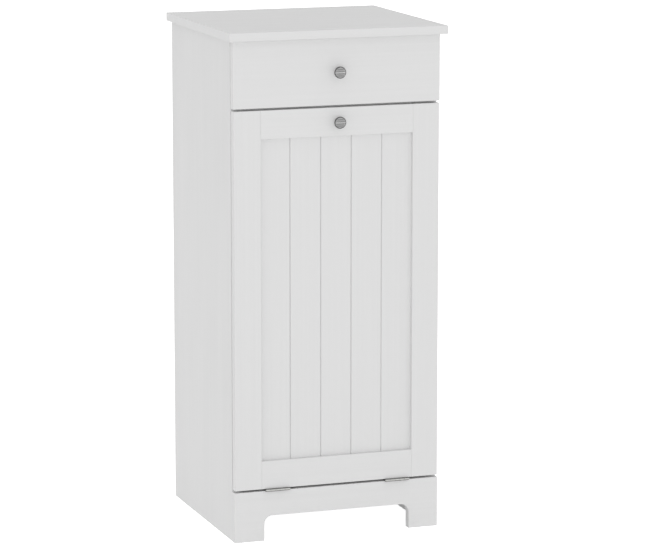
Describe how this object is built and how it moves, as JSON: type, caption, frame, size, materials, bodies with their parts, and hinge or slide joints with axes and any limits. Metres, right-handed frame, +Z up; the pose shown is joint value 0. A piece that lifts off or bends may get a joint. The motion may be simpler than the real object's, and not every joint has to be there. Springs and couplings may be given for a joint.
{
  "type": "tilt-out laundry cabinet",
  "caption": "Slim white cupboard with a drawer above a boarded door that tilts forward on butt hinges and carries a fabric laundry bag in a steel frame.",
  "frame": {"origin": "on the floor, under the middle of the whole object's box", "axes": "+Z up, the fronts face -Y, +X to the viewer's right when facing the fronts"},
  "size_m": [0.4, 0.381, 0.9],
  "materials": {
    "white_board": "white melamine",
    "hardboard": "white-faced hardboard",
    "knob_metal": "satin nickel",
    "nickel_steel": "nickel plated",
    "zinc_steel": "zinc plated",
    "coated_steel": "white epoxy",
    "beech": "plain beech",
    "roller_nylon": "nylon",
    "catch_plastic": "satin",
    "bumper_rubber": "clear soft",
    "bag_fabric": "cotton and linen"
  },
  "bodies": {
    "cabinet": {"top_panel": "white_board", "left_side_panel": "white_board", "right_side_panel": "white_board", "back_panel": "hardboard", "bottom_panel": "white_board", "divider_panel": "white_board", "front_apron": "white_board", "cam_locks": "zinc_steel", "cam_bolts": "zinc_steel", "wooden_dowels": "beech", "back_panel_nails": "zinc_steel", "left_cabinet_runner": "coated_steel", "right_cabinet_runner": "coated_steel", "cabinet_roller_axles": "zinc_steel", "cabinet_fitting_screws": "zinc_steel", "magnetic_catch": "catch_plastic", "left_stay_stud": "zinc_steel", "right_stay_stud": "zinc_steel", "left_hinge_fixed_leaf": "nickel_steel", "right_hinge_fixed_leaf": "nickel_steel", "left_hinge_pin": "nickel_steel", "right_hinge_pin": "nickel_steel", "hinge_fixed_screws": "nickel_steel", "front_bumpers": "bumper_rubber"},
    "drawer": {"drawer_front": "white_board", "drawer_left_side": "white_board", "drawer_right_side": "white_board", "drawer_back": "white_board", "drawer_bottom": "white_board", "drawer_cam_locks": "zinc_steel", "drawer_cam_bolts": "zinc_steel", "drawer_box_screws": "zinc_steel", "left_drawer_runner": "coated_steel", "right_drawer_runner": "coated_steel", "drawer_roller_axles": "zinc_steel", "drawer_runner_screws": "zinc_steel", "drawer_knob": "knob_metal", "drawer_knob_screw": "zinc_steel"},
    "door": {"door_left_stile": "white_board", "door_right_stile": "white_board", "door_top_rail": "white_board", "door_bottom_rail": "white_board", "door_panel": "white_board", "door_knob": "knob_metal", "door_knob_screw": "zinc_steel", "left_hinge_door_leaf": "nickel_steel", "right_hinge_door_leaf": "nickel_steel", "hinge_door_screws": "nickel_steel", "left_quadrant_stay": "zinc_steel", "right_quadrant_stay": "zinc_steel", "door_fitting_screws": "zinc_steel", "catch_plate": "zinc_steel", "bag_frame": "coated_steel", "bag_frame_sockets": "catch_plastic", "laundry_bag": "bag_fabric"},
    "left_front_roller": {"left_front_roller": "roller_nylon"},
    "right_front_roller": {"right_front_roller": "roller_nylon"},
    "left_rear_roller": {"left_rear_roller": "roller_nylon"},
    "right_rear_roller": {"right_rear_roller": "roller_nylon"}
  },
  "joints": [
    {"name": "drawer_slide", "type": "slide", "parent": "cabinet", "child": "drawer", "axis": [0, -1, 0], "range_m": [0, 0.22]},
    {"name": "door_tilt", "type": "hinge", "parent": "cabinet", "child": "door", "pos_m": [0, -0.177, 0.092], "axis": [1, 0, 0], "range_deg": [0, 35]},
    {"name": "left_front_roller_spin", "type": "hinge", "parent": "cabinet", "child": "left_front_roller", "pos_m": [-0.1698, -0.1425, 0.7985], "axis": [1, 0, 0], "continuous": true},
    {"name": "right_front_roller_spin", "type": "hinge", "parent": "cabinet", "child": "right_front_roller", "pos_m": [0.1698, -0.1425, 0.7985], "axis": [1, 0, 0], "continuous": true},
    {"name": "left_rear_roller_spin", "type": "hinge", "parent": "drawer", "child": "left_rear_roller", "pos_m": [-0.1698, 0.1285, 0.7963], "axis": [1, 0, 0], "continuous": true},
    {"name": "right_rear_roller_spin", "type": "hinge", "parent": "drawer", "child": "right_rear_roller", "pos_m": [0.1698, 0.1285, 0.7963], "axis": [1, 0, 0], "continuous": true}
  ],
  "couplings": [
    {"joint": "left_front_roller_spin", "follows": "drawer_slide", "rad_per_m": 111.11},
    {"joint": "right_front_roller_spin", "follows": "drawer_slide", "rad_per_m": 111.11},
    {"joint": "left_rear_roller_spin", "follows": "drawer_slide", "rad_per_m": 111.11},
    {"joint": "right_rear_roller_spin", "follows": "drawer_slide", "rad_per_m": 111.11}
  ]
}
